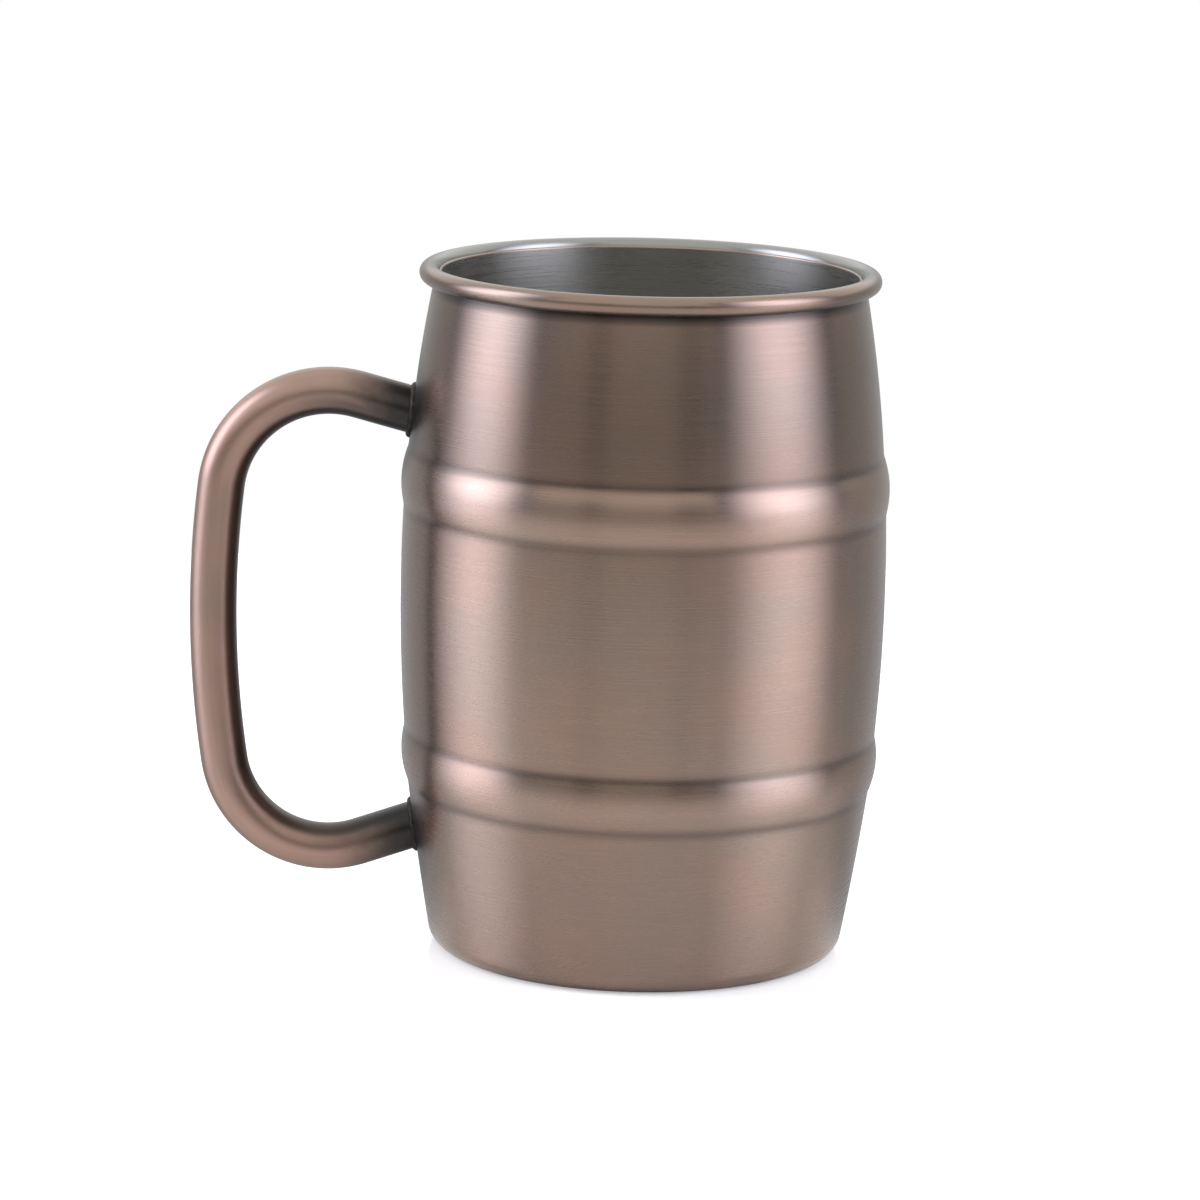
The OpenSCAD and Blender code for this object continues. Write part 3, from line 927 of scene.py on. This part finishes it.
tube_tree, given = new_tree("tube along a line", {
    "Radius": "NodeSocketFloat", "Sides": "NodeSocketInt", "Ripple": "NodeSocketFloat",
    "Ripple length": "NodeSocketFloat", "Painted shade side": "NodeSocketFloat",
    "Material": "NodeSocketMaterial"})
line = add(tube_tree, "GeometryNodeMeshToCurve", {"Mesh": given.outputs["Geometry"]})
line = add(tube_tree, "GeometryNodeStoreNamedAttribute", {
    "Geometry": line, "Name": "heading", "Value": add(tube_tree, "GeometryNodeInputTangent")},
    data_type="FLOAT_VECTOR")
circle = add(tube_tree, "GeometryNodeCurvePrimitiveCircle", {
    "Resolution": given.outputs["Sides"], "Radius": given.outputs["Radius"]})
ring = add(tube_tree, "GeometryNodeStoreNamedAttribute", {
    "Geometry": circle.outputs["Curve"], "Name": "ring",
    "Value": add(tube_tree, "GeometryNodeInputPosition")}, data_type="FLOAT_VECTOR")
fineness = add(tube_tree, "ShaderNodeMath", {0: 1.0, 1: given.outputs["Ripple length"]}, operation="DIVIDE")
noise = add(tube_tree, "ShaderNodeTexNoise", {
    "Vector": add(tube_tree, "GeometryNodeInputPosition"), "W": RIPPLE_SEED, "Scale": fineness,
    "Detail": 1.0}, noise_dimensions="4D")
centred = add(tube_tree, "ShaderNodeMath", {0: noise.outputs["Fac"], 1: 0.5}, operation="SUBTRACT")
swell = add(tube_tree, "ShaderNodeMath", {
    0: centred, 1: given.outputs["Ripple"], 2: 1.0}, operation="MULTIPLY_ADD")
skin = add(tube_tree, "GeometryNodeCurveToMesh", {"Curve": line, "Profile Curve": ring, "Scale": swell})
skin, round_place = with_grain(tube_tree, skin)
facing = add(tube_tree, "ShaderNodeMath", {
    0: round_place.outputs["Y"], 1: given.outputs["Radius"]}, operation="DIVIDE")
for label, (start, end) in STRIPS.items():
    shade = add(tube_tree, "ShaderNodeMapRange", {
        "Value": facing, "From Min": start, "From Max": end, "To Max": given.outputs["Painted shade side"]}, **EASED)
    skin = add(tube_tree, "GeometryNodeStoreNamedAttribute", {
        "Geometry": skin, "Name": label, "Value": shade}, data_type="FLOAT")
finish_tree(tube_tree, skin, given)
print("tree", tube_tree.name, "has", len(tube_tree.nodes), "nodes")

# %% [markdown]
# ## Fitting the tube to the barrel
#
# A real handle is coped: each end is cut to the curve of the wall it stands on. Here the tube
# is made with square ends, and then the points near each end are slid along the leg until the
# last ring lies on the wall. The rings between are spread evenly, so no face is crushed. A
# Boolean cut would fit it too, but it leaves long thin faces that shade badly.
#
# A welder runs a bead round each joint. The bead's path is found with the same search for the
# wall, and the tube's tree lays a thin ripple of metal along it.

# %% Coped ends
COPE_ZONE = 6.0
HALVINGS = 40


def in_plane(v, y=0.0):
    """A point of the handle's plane in the mug's frame. The handle points to -X."""
    return Vector((-v.x, y, v.y))


def to_wall(point, heading):
    """How far a point has to slide along a heading to lie on the barrel's wall, in millimetres."""
    low, high = -COPE_ZONE, COPE_ZONE
    for _ in range(HALVINGS):
        half = (low + high) / 2
        p = point + half * heading
        if math.hypot(p.x, p.y) > wall_r(p.z):
            high = half
        else:
            low = half
    return half


def cope(mesh, joint, leg):
    """Slides the points near a joint so that the tube's end lies on the wall."""
    start, heading = in_plane(joint), in_plane(leg)
    for vertex in mesh.vertices:
        point = vertex.co / MM
        along = (point - start).dot(heading)
        if along < COPE_ZONE and (point - start - along * heading).length < TUBE_R + 1:
            foot = point - along * heading
            slide = to_wall(foot, heading)
            vertex.co = (foot + heading * (slide + along * (COPE_ZONE - slide) / COPE_ZONE)) * MM


def flat_line(points):
    """A line of the handle's plane as points of the mug's frame."""
    return [tuple(in_plane(p)) for p in points]


wall_gap = to_wall(in_plane(upper_joint), in_plane(upper_leg))
print("the wall is", round(abs(wall_gap), 3), "mm from the upper end of the handle's line")

# %% Handle, with a hollow tube
# The handle's inner side gets painted shade at the strength given below; the weld beads get none.
handle_mesh = run_tree("handle", line_mesh("handle", flat_line(handle_line), False), tube_tree, {
    "Radius": TUBE_R * MM, "Sides": 72, "Ripple": 0.0, "Ripple length": 1.0, "Painted shade side": 0.8,
    "Material": tube_copper})
cope(handle_mesh, upper_joint, upper_leg)
cope(handle_mesh, lower_joint, lower_leg)
skin_only = bpy.data.objects.new("handle_skin", handle_mesh)
bpy.context.scene.collection.objects.link(skin_only)
wall = skin_only.modifiers.new("tube wall", "SOLIDIFY")
wall.thickness = TUBE_WALL * MM
wall.offset = -1
graph = bpy.context.evaluated_depsgraph_get()
hollow = bpy.data.meshes.new_from_object(skin_only.evaluated_get(graph), depsgraph=graph)
bpy.data.objects.remove(skin_only)
place_piece("handle_tube", hollow, "antique_copper", "handle")

# %% Weld beads
WELD_R = 0.72
WELD_POINTS = 96
WELD_RIPPLE = 0.5
WELD_RIPPLE_L = 1.1


def weld(name, joint, leg, node):
    """A rippled bead round one end of the tube, where it stands on the wall."""
    start, heading = in_plane(joint), in_plane(leg)
    side = heading.cross(Vector((0, 1, 0)))
    path = []
    for i in range(WELD_POINTS):
        spoke = 2 * math.pi * i / WELD_POINTS
        foot = start + TUBE_R * (math.cos(spoke) * Vector((0, 1, 0)) + math.sin(spoke) * side)
        path.append(tuple(foot + to_wall(foot, heading) * heading))
    mesh = run_tree(name, line_mesh(name, path, True), tube_tree, {
        "Radius": WELD_R * MM, "Sides": 20, "Ripple": WELD_RIPPLE, "Ripple length": WELD_RIPPLE_L * MM,
        "Painted shade side": 0.0, "Material": weld_finish})
    place_piece(name, mesh, "dark_copper", node)


weld("upper_weld", upper_joint, upper_leg, "upper_handle_weld")
weld("lower_weld", lower_joint, lower_leg, "lower_handle_weld")

# %% [markdown]
# ## Sizes
#
# The new pieces have to fill the same box as the CAD model. The box of the new pieces is printed.

# %% Print the box of the new pieces and finish
low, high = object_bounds()
print("visual box in mm:", [round(1000 * v, 2) for v in (*low, *high)])
